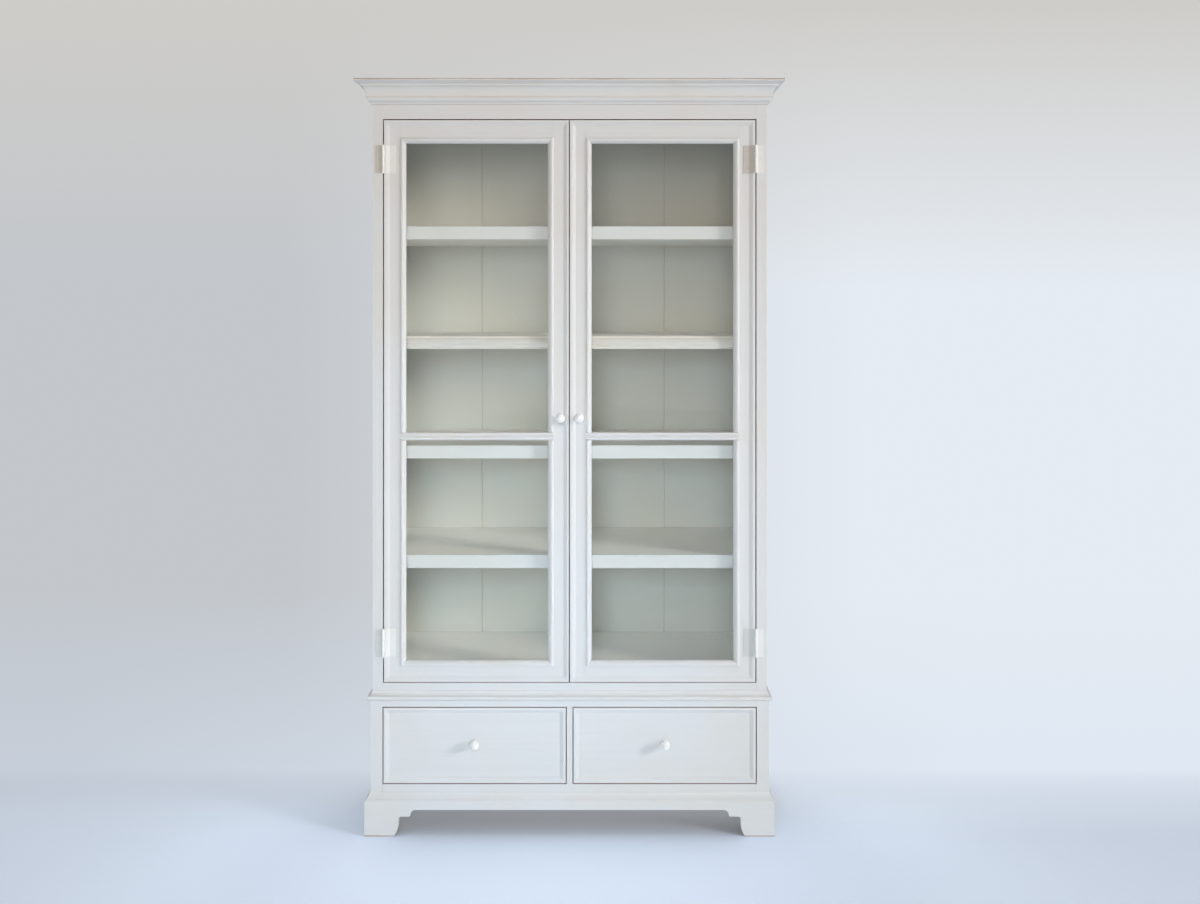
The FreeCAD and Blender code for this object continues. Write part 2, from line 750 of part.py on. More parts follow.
def make_drawers():
    """Both drawers: front, lapped sides, back, bottom and knob."""
    t = drawer_wall_thickness
    x0, x1 = drawer_left + drawer_wall_inset, drawer_right - drawer_wall_inset
    y0 = y_chest + drawer_front_thickness - drawer_lap
    z0, z1 = drawer_bottom, drawer_bottom + drawer_wall_height
    inner_front = y_chest + drawer_front_thickness
    floor_z = drawer_bottom + drawer_bottom_rise
    floor_top = floor_z + drawer_bottom_thickness
    g = drawer_groove_depth
    bottom = block(x0 + t - g, x1 - t + g, inner_front - g, drawer_rear, floor_z, floor_top)
    sides = [block(x0, x0 + t, y0, drawer_rear, z0, z1), block(x1 - t, x1, y0, drawer_rear, z0, z1)]
    back = block(x0 + t, x1 - t, drawer_rear - t, drawer_rear, floor_top, z1 - drawer_back_drop)
    knob_x = (drawer_left + drawer_right) / 2
    knob_z = (drawer_bottom + drawer_top) / 2 + drawer_knob_rise
    knob_seat = y_chest + panel_recess
    thickness = drawer_front_thickness
    front = moulded_panel(drawer_left, drawer_right, drawer_bottom, drawer_top, y_chest, thickness)
    front = front.cut(knob_hole(knob_x, knob_seat, knob_z)).cut(bottom)
    for side in sides:
        front = front.cut(side)
    pieces = {
        "front": [only(front)],
        "walls": [only(side.cut(bottom)) for side in sides] + [back],
        "bottom": [bottom],
        "knob": [knob(knob_x, knob_seat, knob_z)],
    }
    for name, solids in pieces.items():
        export("left_drawer_" + name, *solids)
        export("right_drawer_" + name, *[mirrored(solid) for solid in solids])


make_plinth()
make_lower_case()
make_upper_case()
make_doors()
make_drawers()
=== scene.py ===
"""Display cabinet in brushed paint over pine: the looks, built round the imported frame."""
import json
import math

import bpy
from bpy.props import FloatProperty, FloatVectorProperty, IntProperty, PointerProperty
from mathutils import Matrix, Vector

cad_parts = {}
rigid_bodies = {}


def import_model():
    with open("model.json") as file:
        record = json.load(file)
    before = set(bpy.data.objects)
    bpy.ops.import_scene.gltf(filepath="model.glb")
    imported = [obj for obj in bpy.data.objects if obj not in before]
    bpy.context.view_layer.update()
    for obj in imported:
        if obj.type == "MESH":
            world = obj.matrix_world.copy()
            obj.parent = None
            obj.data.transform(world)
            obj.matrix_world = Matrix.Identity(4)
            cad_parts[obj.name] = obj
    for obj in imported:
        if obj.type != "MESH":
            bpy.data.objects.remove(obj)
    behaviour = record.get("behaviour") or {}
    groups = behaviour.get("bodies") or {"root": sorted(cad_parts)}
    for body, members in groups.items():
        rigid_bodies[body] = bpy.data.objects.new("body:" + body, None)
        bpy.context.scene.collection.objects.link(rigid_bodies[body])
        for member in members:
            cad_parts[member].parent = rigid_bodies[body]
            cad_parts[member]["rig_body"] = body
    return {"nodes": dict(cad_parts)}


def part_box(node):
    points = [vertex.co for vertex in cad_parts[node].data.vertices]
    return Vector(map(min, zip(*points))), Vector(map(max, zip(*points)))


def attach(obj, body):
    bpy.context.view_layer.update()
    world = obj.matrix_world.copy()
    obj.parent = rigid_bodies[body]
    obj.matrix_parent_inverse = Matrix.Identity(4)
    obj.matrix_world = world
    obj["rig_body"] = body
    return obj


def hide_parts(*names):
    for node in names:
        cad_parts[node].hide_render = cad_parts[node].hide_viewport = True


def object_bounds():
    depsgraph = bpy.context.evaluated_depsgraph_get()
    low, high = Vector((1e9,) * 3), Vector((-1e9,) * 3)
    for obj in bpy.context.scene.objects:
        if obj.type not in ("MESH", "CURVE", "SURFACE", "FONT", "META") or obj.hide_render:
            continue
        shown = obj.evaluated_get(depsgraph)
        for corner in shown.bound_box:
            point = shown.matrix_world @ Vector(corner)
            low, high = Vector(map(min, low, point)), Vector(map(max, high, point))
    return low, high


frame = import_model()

bl_info = {
    "name": "Display cabinet",
    "version": (1, 0, 0),
    "blender": (4, 5, 0),
    "location": "3D View > Sidebar > Cabinet",
    "description": "Finishes a glazed display cabinet on a chest of two drawers",
    "category": "Object",
}

CAD_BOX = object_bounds()
NODES = frame["nodes"]
MM = 0.001
SIDES = ("left", "right")
AXES = "XYZ"
MOULDED_SHELF = "shelf_2"
SENSOR_WIDTH = 36
FLOOR_SIZE = 24
BACKDROP_SIZE = 14
BACKDROP_GAP = 12 * MM
STAGE_LEFT, STAGE_RIGHT = -1.6, 1.2
MERGE_REACH = 0.002 * MM
SPIN_MERGE_REACH = 0.01 * MM
MITRE_REACH = 0.01 * MM
FLAT_ANGLE = math.radians(0.2)
SHARP_ANGLE = math.radians(32)
SMOOTH_ANGLE = math.radians(20)


def linear(hex_colour):
    """An sRGB hex value as linear red, green, blue and alpha."""
    shares = [int(hex_colour[n:n + 2], 16) / 255 for n in (1, 3, 5)]
    return [s / 12.92 if s <= 0.04045 else ((s + 0.055) / 1.055) ** 2.4 for s in shares] + [1.0]


def colour(name, description, hex_colour):
    """A colour that a user may change."""
    return FloatVectorProperty(name=name, description=description, default=linear(hex_colour),
                               size=4, min=0, max=1, subtype="COLOR")


def length(name, description, millimetres):
    """A length that a user may change."""
    return FloatProperty(name=name, description=description, default=millimetres * MM, min=0,
                         precision=5, unit="LENGTH", subtype="DISTANCE")


def factor(name, description, default):
    """A share from 0 to 1 that a user may change."""
    return FloatProperty(name=name, description=description, default=default, min=0, max=1,
                         subtype="FACTOR")


def power(name, description, watts):
    """A lamp's power that a user may change."""
    return FloatProperty(name=name, description=description, default=watts, min=0, unit="POWER")


class CabinetSizes(bpy.types.PropertyGroup):
    """Sizes of the details that the frame leaves to the looks."""
    arris: length("Arris", "Easing of the long edges of mouldings", 0.8)
    joint_arris: length("Joint arris", "Easing of boards and frames, for hairline joints", 0.3)
    plinth_arris: length("Plinth arris", "Easing of the plinth, which is knocked most", 1.4)
    hinge_arris: length("Hinge arris", "Easing of the hinge leaves", 0.4)
    barrel_radius: length("Barrel radius", "Radius of the hinge barrels", 3.5)
    glass_arris: length("Glass arris", "Ground edge of the panes", 0.5)
    shortest_edge: length("Shortest edge", "Shorter edges stay sharp, such as screw holes", 1.2)
    stroke_length: length("Stroke length", "Run of one brush stroke", 380)
    stroke_width: length("Stroke width", "Width of the streaks that a brush leaves", 7)
    bristle_width: length("Bristle width", "Width of the lines that single bristles leave", 2.2)
    mottle: length("Mottle", "Size of the uneven patches in the paint", 260)
    rubbed_patch: length("Rubbed patch", "Size of the rubbed patches along an arris", 150)
    # Reach of the brown painted shade out of gaps and hollows: the distance of the ambient occlusion.
    gap_shade_reach: length("Gap reach", "How far dust and old wax reach out of a gap", 9)
    worn_top: length("Worn top", "Bare band along the top edge of the cornice", 3.4)
    worn_foot: length("Worn foot", "Bare band along the bottom edge of the feet", 3.0)
    ring_width: length("Ring width", "Spacing of the growth rings in the pine", 9)
    grain_length: length("Grain length", "Run of one line of the pine's grain", 500)
    sway_length: length("Sway length", "Run over which the growth rings bend", 2400)
    sway_width: length("Sway width", "Width over which the growth rings bend", 110)
    knot_spacing: length("Knot spacing", "Distance between knots in the pine", 330)
    glass_wave: length("Glass wave", "Size of the waves in the drawn glass", 140)
    knob_collar: length("Knob collar", "Radius of the collar at the knob's foot", 8.5)
    knob_neck: length("Knob neck", "Radius of the knob's neck", 6.5)
    knob_spigot: length("Knob spigot", "Radius of the knob's spigot", 4.95)
    knob_rim: length("Knob rim", "Distance of the knob's widest ring from its seat", 19.5)
    collar_height: length("Collar height", "Height of the collar at the knob's foot", 2.5)
    neck_length: length("Neck length", "Length of the knob's hollow neck", 7.5)
    knob_groove: length("Knob groove", "Radius of the ring cut in the knob's face", 7)
    groove_depth: length("Groove depth", "Depth of the ring cut in the knob's face", 0.7)
    knob_seat: length("Knob seat", "Length of the spigot inside the wood", 11)
    knob_steps: IntProperty(name="Knob steps", description="Steps round a turned knob", default=56, min=12)


class CabinetWear(bpy.types.PropertyGroup):
    """How worn the finishes are, and how much brown painted shade lies in their gaps and hollows."""
    rubbed: factor("Rubbed", "Wood that shows along the arrises of mouldings", 0.32)
    hinge_rubbed: factor("Hinges rubbed", "Steel that shows along the arrises of the hinges", 0.6)
    bare: factor("Bare", "Wood that shows in the worn bands of the cornice and the feet", 0.85)
    # Strength of the brown painted shade in the deepest gaps and hollows.
    gap_shade_amount: factor("Dust", "Dust in the deepest gaps", 0.95)
    # Weaker brown painted shade in the hollows of the waist moulding.
    waist_gap_shade: factor("Wiped dust", "Dust in the waist moulding, which is wiped often", 0.3)


class CabinetColours(bpy.types.PropertyGroup):
    """Colours of the finishes and of the stage."""
    paint: colour("Paint", "Top coat", "#DEDDD9")
    paint_shade: colour("Paint shade", "Where the brush left less paint", "#DCDBD7")
    paint_warm: colour("Paint warm", "Yellowed patches of the top coat", "#DCD8CE")
    # Painted light: a paler copy of the top coat on the tops of the shelves and floor board inside.
    inside_light_coat: colour("Paint inside", "Top coat inside, which light and hands have spared", "#F8F8F4")
    # Painted light: a cooler, slightly paler copy of the top coat on the shelf fronts behind the glass.
    front_light_coat: colour("Shelf front paint", "Top coat behind glass, which has not yellowed", "#DEE1E2")
    paint_back: colour("Paint on the back", "Thin coat on the inside of the back boards", "#D8D9D2")
    # Brown of the painted shade in gaps, corners and hollows.
    gap_shade_brown: colour("Dirt", "Dust and old wax in the gaps", "#9A532A")
    rubbed: colour("Rubbed wood", "Wood that shows where edges are rubbed", "#B39A80")
    pine: colour("Pine", "Early wood of the bare pine", "#DDBF92")
    pine_ring: colour("Pine ring", "Late wood of the bare pine", "#BE935E")
    pine_knot: colour("Pine knot", "Knots of the bare pine", "#7A4F2B")
    # Painted shadow: leaves left of the barrels are darker, as if the barrels shaded them.
    leaf_shadow_colour: colour("Thin leaf paint", "Worn paint of the leaves left of the barrels", "#C8C2B7")
    # Painted light: those leaves are paler on the lower hinges.
    low_hinge_light_colour: colour("Low leaf paint", "Thin paint of the lower hinges' leaves", "#D2D2CB")
    # Painted light: leaves right of the barrels are paler, as if lit.
    leaf_light_colour: colour("Thick leaf paint", "Thick paint of the leaves right of the barrels", "#EAE8E3")
    # Painted highlight: barrels, pins and knobs in a paler paint than the top coat.
    highlight_coat: colour("Handled paint", "Paint of barrels and knobs, polished by hands", "#F4F3EF")
    steel: colour("Steel", "Worn edges of the painted hinges", "#8E857A")
    glass: colour("Glass", "Tint of the panes", "#FEFEFC")
    floor: colour("Floor", "Studio floor", "#E2EDFC")
    # Painted shade: the floor darkens towards this colour under the cabinet, where ambient occlusion is low.
    floor_shade: colour("Floor shade", "Dust on the floor under the cabinet", "#857B70")
    # Painted light on the backdrop and the seam: darker on the left, away from the light, and above the
    # cabinet, paler on the right, near it.
    wall_left: colour("Backdrop left", "Backdrop away from the light", "#C3C7CC")
    wall_right: colour("Backdrop right", "Backdrop near the light", "#E5EBF2")
    seam_left: colour("Seam left", "Backdrop where it meets the floor, left", "#C6CED9")
    seam_right: colour("Seam right", "Backdrop where it meets the floor, right", "#DFE8F3")
    wall_top: colour("Backdrop top", "Backdrop above the cabinet", "#CECCC8")
    ambient: colour("Ambient", "Light from all round", "#F2F7FF")
    top: colour("Warm light", "Light from above the front", "#FFDDB4")
    level: colour("Level light", "Light from the right and level with the front", "#FCFCFE")
    low: colour("Low light", "Cool light low in front", "#B9DBFA")


class CabinetStage(bpy.types.PropertyGroup):
    """Camera and light."""
    camera_place: FloatVectorProperty(name="Camera place", description="Where the camera stands", size=3,
                                      default=(0.083, -3.192, 1.450), subtype="TRANSLATION")
    lens: FloatProperty(name="Lens", description="Focal length in mm on a 36 mm sensor", default=32.97)
    shift: FloatProperty(name="Shift", description="Rise or fall of the picture", default=-0.1242)
    ambient: factor("Ambient", "Strength of the light from all round", 0.19)
    key: power("Key", "Power of the light from the right", 28)
    front: power("Front", "Power of the broad light in front", 9)
    face: power("Face", "Power of the level light in front", 10)
    low: power("Low", "Power of the cool light low in front", 2.7)
    rear: power("Rear", "Power of the light behind the cabinet", 7)
    crown: power("Crown", "Power of the light on the top", 2.0)
    shade_reach: length("Shade reach", "How far the floor's shade reaches from the cabinet", 450)
    # Painted light: the floor glows for all rays, as a lamp would, more on the left and less in the cabinet's
    # shade.
    lift_left: factor("Lift left", "Glow of the floor on the left", 0.34)
    lift_right: factor("Lift right", "Glow of the floor on the right", 0.26)


def sizes():
    return bpy.context.scene.cabinet_sizes


def colours():
    return bpy.context.scene.cabinet_colours


def wear():
    return bpy.context.scene.cabinet_wear


def add(tree, kind, inputs=None, **settings):
    """Adds a node with its settings; inputs takes values or other nodes' outputs."""
    made = tree.nodes.new("ShaderNode" + kind)
    for name, value in settings.items():
        setattr(made, name, value)
    for socket, value in (inputs or {}).items():
        if isinstance(value, bpy.types.NodeSocket):
            tree.links.new(value, made.inputs[socket])
        else:
            made.inputs[socket].default_value = value
    return made


def shader(name):
    """A new material, its node tree, its Principled shader and its texture coordinates."""
    material = bpy.data.materials.new(name)
    material.use_nodes = True
    tree = material.node_tree
    tree.nodes.clear()
    principled = add(tree, "BsdfPrincipled")
    add(tree, "OutputMaterial", {"Surface": principled.outputs["BSDF"]})
    return material, tree, principled, add(tree, "TexCoord")


def find(tree, kind):
    """The node of a kind that a tree holds once."""
    return next(node for node in tree.nodes if node.type == kind)


def run_scale(run, along, across):
    """Texture scale for a pattern that is long in one direction and narrow in the others."""
    return [1 / (along if axis == run else across) for axis in AXES]


def along_run(tree, place, run, along, across):
    """Coordinates that stretch a pattern along the run; on returns of level pieces it runs to the back."""
    first = add(tree, "Mapping", {"Vector": place.outputs["Object"], "Scale": run_scale(run, along, across)})
    if run != "X":
        return first.outputs[0]
    back = add(tree, "Mapping", {"Vector": place.outputs["Object"], "Scale": run_scale("Y", along, across)})
    normal = add(tree, "SeparateXYZ", {0: place.outputs["Normal"]})
    sideways = add(tree, "Math", {0: normal.outputs["X"]}, operation="ABSOLUTE")
    is_return = add(tree, "Math", {0: sideways.outputs[0], 1: 0.7}, operation="GREATER_THAN")
    mixed = add(tree, "Mix", {0: is_return.outputs[0], 4: first.outputs[0], 5: back.outputs[0]},
                data_type="VECTOR")
    return mixed.outputs[1]


def spread(tree, value, low, high, start=0.0, end=1.0):
    """Stretches a value between low and high to the range from start to end."""
    made = add(tree, "MapRange", {"Value": value, "From Min": low, "From Max": high,
                                  "To Min": start, "To Max": end})
    return made.outputs[0]


def blend(tree, share, first, second):
    """Mixes two colours."""
    return add(tree, "Mix", {0: share, 6: first, 7: second}, data_type="RGBA").outputs[2]


def times(tree, first, second):
    """Multiplies two values."""
    return add(tree, "Math", {0: first, 1: second}, operation="MULTIPLY").outputs[0]


def ratio(first, second):
    """One colour as a share of another."""
    return [x / y for x, y in zip(first, second)]


def tinted(coat, first, second):
    """A coat that differs from its own colour as the first colour differs from the second."""
    return [x * y for x, y in zip(coat, ratio(first, second))]


def brushed_paint(name, run, rubbed=0.0, bare=None, band=None, coat=None, gap_shade_amount=None):
    """Eggshell oil paint, brushed along the run of each member over primed pine.

    It gives the eye faint streaks and bristle lines along the wood, an uneven warm white,
    a low sheen that breaks on the strokes, and a brown painted shade that darkens gaps, corners
    and hollows where ambient occlusion is low. Rubbed is how much of an arris shows the wood, band
    is a level and a depth where an edge is worn bare, and the last argument is how strong that
    painted shade is in the deepest gaps.
    """
    s, c = sizes(), colours()
    material, tree, principled, place = shader(name)
    coarse = along_run(tree, place, run, s.stroke_length, s.stroke_width)
    fine = along_run(tree, place, run, s.stroke_length / 3, s.bristle_width)
    strokes = add(tree, "TexNoise", {"Vector": coarse, "Scale": 1, "Detail": 3, "Roughness": 0.6}).outputs[0]
    bristles = add(tree, "TexNoise", {"Vector": fine, "Scale": 1, "Detail": 2, "Roughness": 0.5}).outputs[0]
    mottle = add(tree, "TexNoise", {"Vector": place.outputs["Object"], "Scale": 1 / s.mottle,
                                    "Detail": 2}).outputs[0]
    coat = coat or c.paint
    shade = tinted(coat, c.paint_shade, c.paint)
    warm = tinted(coat, c.paint_warm, c.paint)
    tone = blend(tree, spread(tree, strokes, 0.36, 0.66), coat, shade)
    tone = blend(tree, spread(tree, bristles, 0.45, 0.75, 0, 0.35), tone, shade)
    tone = blend(tree, spread(tree, mottle, 0.42, 0.7, 0, 0.6), tone, warm)
    bare = bare or c.rubbed
    if rubbed > 0:
        patches = add(tree, "TexNoise", {"Vector": place.outputs["Object"], "Scale": 1 / s.rubbed_patch,
                                         "Detail": 4}).outputs[0]
        tone = blend(tree, spread(tree, patches, 0.40, 0.62, rubbed * 0.25, rubbed), tone, bare)
    if band:
        level, depth = band
        height = add(tree, "SeparateXYZ", {0: place.outputs["Object"]}).outputs["Z"]
        away = add(tree, "Math", {0: height, 1: level}, operation="SUBTRACT").outputs[0]
        away = add(tree, "Math", {0: away}, operation="ABSOLUTE").outputs[0]
        ragged = spread(tree, bristles, 0.3, 0.7, depth * 0.4, depth * 1.5)
        worn = add(tree, "Math", {0: away, 1: ragged}, operation="LESS_THAN").outputs[0]
        facing = add(tree, "SeparateXYZ", {0: place.outputs["Normal"]}).outputs["Z"]
        upright = add(tree, "Math", {0: facing, 1: 0.8}, operation="LESS_THAN").outputs[0]
        tone = blend(tree, times(tree, times(tree, worn, upright), wear().bare), tone, bare)
    # Painted shade: the paint turns darker and browner where ambient occlusion finds gaps, corners and
    # hollows close by.
    hollow = add(tree, "AmbientOcclusion", {"Distance": s.gap_shade_reach}, samples=6)
    gap_shade_share = spread(tree, hollow.outputs["AO"], 0.08, 0.42, gap_shade_amount or wear().gap_shade_amount, 0)
    tone = blend(tree, gap_shade_share, tone, c.gap_shade_brown)
    sheen = spread(tree, strokes, 0.3, 0.7, 0.44, 0.54)
    relief = add(tree, "Math", {0: strokes, 1: bristles}, operation="ADD").outputs[0]
    bump = add(tree, "Bump", {"Height": relief, "Strength": 0.09, "Distance": 0.0005})
    tree.links.new(tone, principled.inputs["Base Color"])
    tree.links.new(sheen, principled.inputs["Roughness"])
    tree.links.new(bump.outputs[0], principled.inputs["Normal"])
    return material


def pine_pattern(tree, place, run):
    """Colour and relief of planed pine: rings drawn out along the run, and a few knots."""
    s, c = sizes(), colours()
    warp = along_run(tree, place, run, s.sway_length, s.sway_width)
    sway = add(tree, "TexNoise", {"Vector": warp, "Scale": 1, "Detail": 2}).outputs[0]
    across = add(tree, "TexNoise", {"Vector": along_run(tree, place, run, s.grain_length, s.ring_width),
                                    "Scale": 1, "Detail": 3, "Roughness": 0.55}).outputs[0]
    phase = add(tree, "Math", {0: times(tree, sway, 14.0), 1: times(tree, across, 2.2)}, operation="ADD")
    rings = add(tree, "Math", {0: phase.outputs[0], 1: 1.0}, operation="PINGPONG").outputs[0]
    wood = blend(tree, spread(tree, rings, 0.5, 1.0, 0, 0.5), c.pine, c.pine_ring)
    wood = blend(tree, spread(tree, across, 0.35, 0.7, 0, 0.35), wood, c.pine_ring)
    cells = add(tree, "TexVoronoi", {"Vector": place.outputs["Object"], "Scale": 1 / s.knot_spacing})
    knots = spread(tree, cells.outputs["Distance"], 0.03, 0.055, 0.9, 0)
    return blend(tree, knots, wood, c.pine_knot), rings


def planed_pine(name, run):
    """Bare pine, planed and left unfinished: honey colour, darker rings, a dry dull surface."""
    material, tree, principled, place = shader(name)
    wood, rings = pine_pattern(tree, place, run)
    bump = add(tree, "Bump", {"Height": rings, "Strength": 0.25, "Distance": 0.0003})
    tree.links.new(wood, principled.inputs["Base Color"])
    tree.links.new(bump.outputs[0], principled.inputs["Normal"])
    tree.links.new(spread(tree, rings, 0, 1, 0.72, 0.58), principled.inputs["Roughness"])
    return material


def back_paint(name, run):
    """Back boards, brushed with the same paint inside the cabinet and left as bare pine behind."""
    material = brushed_paint(name, run, coat=colours().paint_back)
    tree = material.node_tree
    principled = find(tree, "BSDF_PRINCIPLED")
    place = find(tree, "TEX_COORD")
    wood, rings = pine_pattern(tree, place, run)
    facing = add(tree, "SeparateXYZ", {0: place.outputs["Normal"]}).outputs["Y"]
    behind = add(tree, "Math", {0: facing, 1: 0.5}, operation="GREATER_THAN").outputs[0]
    paint = principled.inputs["Base Color"].links[0].from_socket
    tree.links.new(blend(tree, behind, paint, wood), principled.inputs["Base Color"])
    return material


def shadowed_leaf_paint(name, run, lit_right):
    """Hinge leaves left of the barrels, darker than the top coat: a painted shadow of the barrels.
    On the lower hinges they are paler than on the upper ones, which is painted light.

    On the case, the leaves on the right, right of the barrels, are pale instead, which is painted light.
    """
    c = colours()
    material = brushed_paint(name, run, coat=c.leaf_shadow_colour)
    tree = material.node_tree
    principled = find(tree, "BSDF_PRINCIPLED")
    place = find(tree, "TEX_COORD")
    spot = add(tree, "SeparateXYZ", {0: place.outputs["Object"]})
    low = add(tree, "Math", {0: spot.outputs["Z"], 1: CAD_BOX[1][2] / 2}, operation="LESS_THAN").outputs[0]
    share = blend(tree, low, ratio(c.leaf_shadow_colour, c.leaf_shadow_colour), ratio(c.low_hinge_light_colour, c.leaf_shadow_colour))
    if lit_right:
        right = add(tree, "Math", {0: spot.outputs["X"], 1: 0.0}, operation="GREATER_THAN").outputs[0]
        share = blend(tree, right, share, ratio(c.leaf_light_colour, c.leaf_shadow_colour))
    paint = principled.inputs["Base Color"].links[0].from_socket
    made = add(tree, "Mix", {0: 1.0, 6: paint, 7: share}, data_type="RGBA", blend_type="MULTIPLY")
    tree.links.new(made.outputs[2], principled.inputs["Base Color"])
    return material


def window_glass(name):
    """Drawn window glass: clear with a trace of warmth, and slow waves that bend its reflections."""
    s, c = sizes(), colours()
    material, tree, principled, place = shader(name)
    tree.nodes.remove(principled)
    output = find(tree, "OUTPUT_MATERIAL")
    waves = add(tree, "TexNoise", {"Vector": place.outputs["Object"], "Scale": 1 / s.glass_wave, "Detail": 1})
    bump = add(tree, "Bump", {"Height": waves.outputs[0], "Strength": 0.3, "Distance": 0.001})
    clear = add(tree, "BsdfTransparent", {"Color": c.glass})
    mirror = add(tree, "BsdfGlossy", {"Roughness": 0.02, "Normal": bump.outputs[0]})
    rays = add(tree, "LightPath")
    side = add(tree, "NewGeometry")
    passing = add(tree, "Math", {0: rays.outputs["Is Shadow Ray"], 1: side.outputs["Backfacing"]},
                  operation="MAXIMUM").outputs[0]
    share = times(tree, add(tree, "Fresnel", {"IOR": 1.5}).outputs[0], spread(tree, passing, 0, 1, 1.1, 0))
    mixed = add(tree, "MixShader", {0: share, 1: clear.outputs[0], 2: mirror.outputs[0]})
    tree.links.new(mixed.outputs[0], output.inputs["Surface"])
    return material


def finish(name):
    """A finish by its name, made the first time it is asked for; its last letter is the run of the wood."""
    found = bpy.data.materials.get(name)
    if found:
        return found
    s, c, w = sizes(), colours(), wear()
    kind, run = name[:-2], name[-1].upper()
    paints = {
        "brushed_paint": {},
        # Painted light: a paler inside coat.
        "inside_paint": {"coat": c.inside_light_coat},
        # Painted light: a cooler shelf-front coat.
        "shelf_front": {"coat": c.front_light_coat},
        "rubbed_arris": {"rubbed": w.rubbed},
        # Weaker painted shade in its hollows.
        "wiped_paint": {"gap_shade_amount": w.waist_gap_shade},
        "cornice_paint": {"band": (CAD_BOX[1][2], s.worn_top)},
        "plinth_paint": {"band": (CAD_BOX[0][2], s.worn_foot)},
        # Painted light: leaves right of the barrels, paler.
        "thick_leaf": {"coat": c.leaf_light_colour},
        # Painted highlight: a paler paint for barrels, pins and knobs.
        "barrel_paint": {"coat": c.highlight_coat},
        "hinge_arris": {"rubbed": w.hinge_rubbed, "bare": c.steel},
    }
    if kind in paints:
        return brushed_paint(name, run, **paints[kind])
    # Hinge leaves with painted shadow left of the barrels, and painted light right of them and low down.
    if kind in ("frame_leaf", "thin_leaf"):
        return shadowed_leaf_paint(name, run, lit_right=kind == "frame_leaf")
    if kind == "planed_pine":
        return planed_pine(name, run)
    if kind == "back_paint":
        return back_paint(name, run)
    return window_glass(name)


def take(piece):
    """Makes one object the only selected and active one."""
    bpy.ops.object.select_all(action="DESELECT")
    piece.select_set(True)
    bpy.context.view_layer.objects.active = piece


def loose_copy(node):
    """A copy of a CAD node, unlinked from the frame and still in loose triangles."""
    take(NODES[node])
    bpy.ops.object.duplicate()
    piece = bpy.context.object
    piece.parent = None
    for key in list(piece.keys()):
        del piece[key]
    piece.name = node + "_finished"
    piece.data.name = piece.name
    piece.data.materials.clear()
    return piece


def clean(piece):
    """Joins loose triangles into whole faces."""
    take(piece)
    bpy.ops.mesh.customdata_custom_splitnormals_clear()
    bpy.ops.object.mode_set(mode="EDIT")
    bpy.ops.mesh.select_all(action="SELECT")
    bpy.ops.mesh.remove_doubles(threshold=MERGE_REACH)
    bpy.ops.mesh.dissolve_limited(angle_limit=FLAT_ANGLE)
    bpy.ops.object.mode_set(mode="OBJECT")


def ease(piece, width, shortest):
    """Rounds the long sharp edges and gives the new faces the second finish."""
    mesh = piece.data
    take(piece)
    bpy.ops.object.mode_set(mode="EDIT")
    bpy.ops.mesh.select_mode(type="EDGE")
    bpy.ops.mesh.select_all(action="DESELECT")
    bpy.ops.mesh.edges_select_sharp(sharpness=SHARP_ANGLE)
    bpy.ops.object.mode_set(mode="OBJECT")
    for edge in mesh.edges:
        start, end = (mesh.vertices[v].co for v in edge.vertices)
        if (end - start).length < shortest:
            edge.select = False
    bpy.ops.object.mode_set(mode="EDIT")
    bpy.ops.mesh.bevel(offset=width, segments=2, affect="EDGES", clamp_overlap=True, material=1)
    bpy.ops.object.mode_set(mode="OBJECT")
    bpy.ops.object.shade_smooth_by_angle(angle=SMOOTH_ANGLE)


def hand_over(piece, node):
    """Puts a finished piece in the place of its CAD node."""
    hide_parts(node)
    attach(piece, NODES[node]["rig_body"])


def finish_board(node, surface, arris_finish, width, front_as_arris=False):
    """A CAD node copied, its arrises eased, with a finish for its faces and one for its arrises."""
    piece = loose_copy(node)
    piece.data.materials.append(finish(surface))
    piece.data.materials.append(finish(arris_finish))
    clean(piece)
    if front_as_arris:
        for face in piece.data.polygons:
            face.material_index = 1 if face.normal.y < -0.7 else 0
    ease(piece, width, sizes().shortest_edge)
    hand_over(piece, node)
    return piece


def paint_node(node, surface):
    """A CAD node that keeps its shape and gets a finish."""
    materials = NODES[node].data.materials
    materials.clear()
    materials.append(finish(surface))


def part_faces(piece, belongs):
    """Splits off the faces for which belongs says yes, as an object of its own."""
    take(piece)
    bpy.ops.object.mode_set(mode="EDIT")
    bpy.ops.mesh.select_mode(type="FACE")
    bpy.ops.mesh.select_all(action="DESELECT")
    bpy.ops.object.mode_set(mode="OBJECT")
    for face in piece.data.polygons:
        face.select = belongs(face.center, face.normal)
    bpy.ops.object.mode_set(mode="EDIT")
    bpy.ops.mesh.separate(type="SELECTED")
    bpy.ops.object.mode_set(mode="OBJECT")
    return next(o for o in bpy.context.selected_objects if o != piece)


def finish_moulding(node, surface, half_width, face):
    """A mitred moulding: its three lengths are eased one by one, which leaves fine mitre joints."""
    whole = loose_copy(node)
    whole.data.materials.append(finish(surface))
    whole.data.materials.append(finish("rubbed_arris_x"))
    lengths = [whole]
    for side in (-1, 1):
        def on_return(centre, normal):
            beyond = side * centre.x - half_width - (face - centre.y)
            on_mitre = abs(beyond) <= MITRE_REACH and side * normal.x < 0 and abs(normal.z) < 0.1
            return beyond > MITRE_REACH or on_mitre
        lengths.append(part_faces(whole, on_return))
    for piece in lengths:
        clean(piece)
        ease(piece, sizes().arris, sizes().shortest_edge)
    bpy.ops.object.select_all(action="DESELECT")
    for piece in lengths:
        piece.select_set(True)
    bpy.context.view_layer.objects.active = whole
    bpy.ops.object.join()
    hand_over(whole, node)


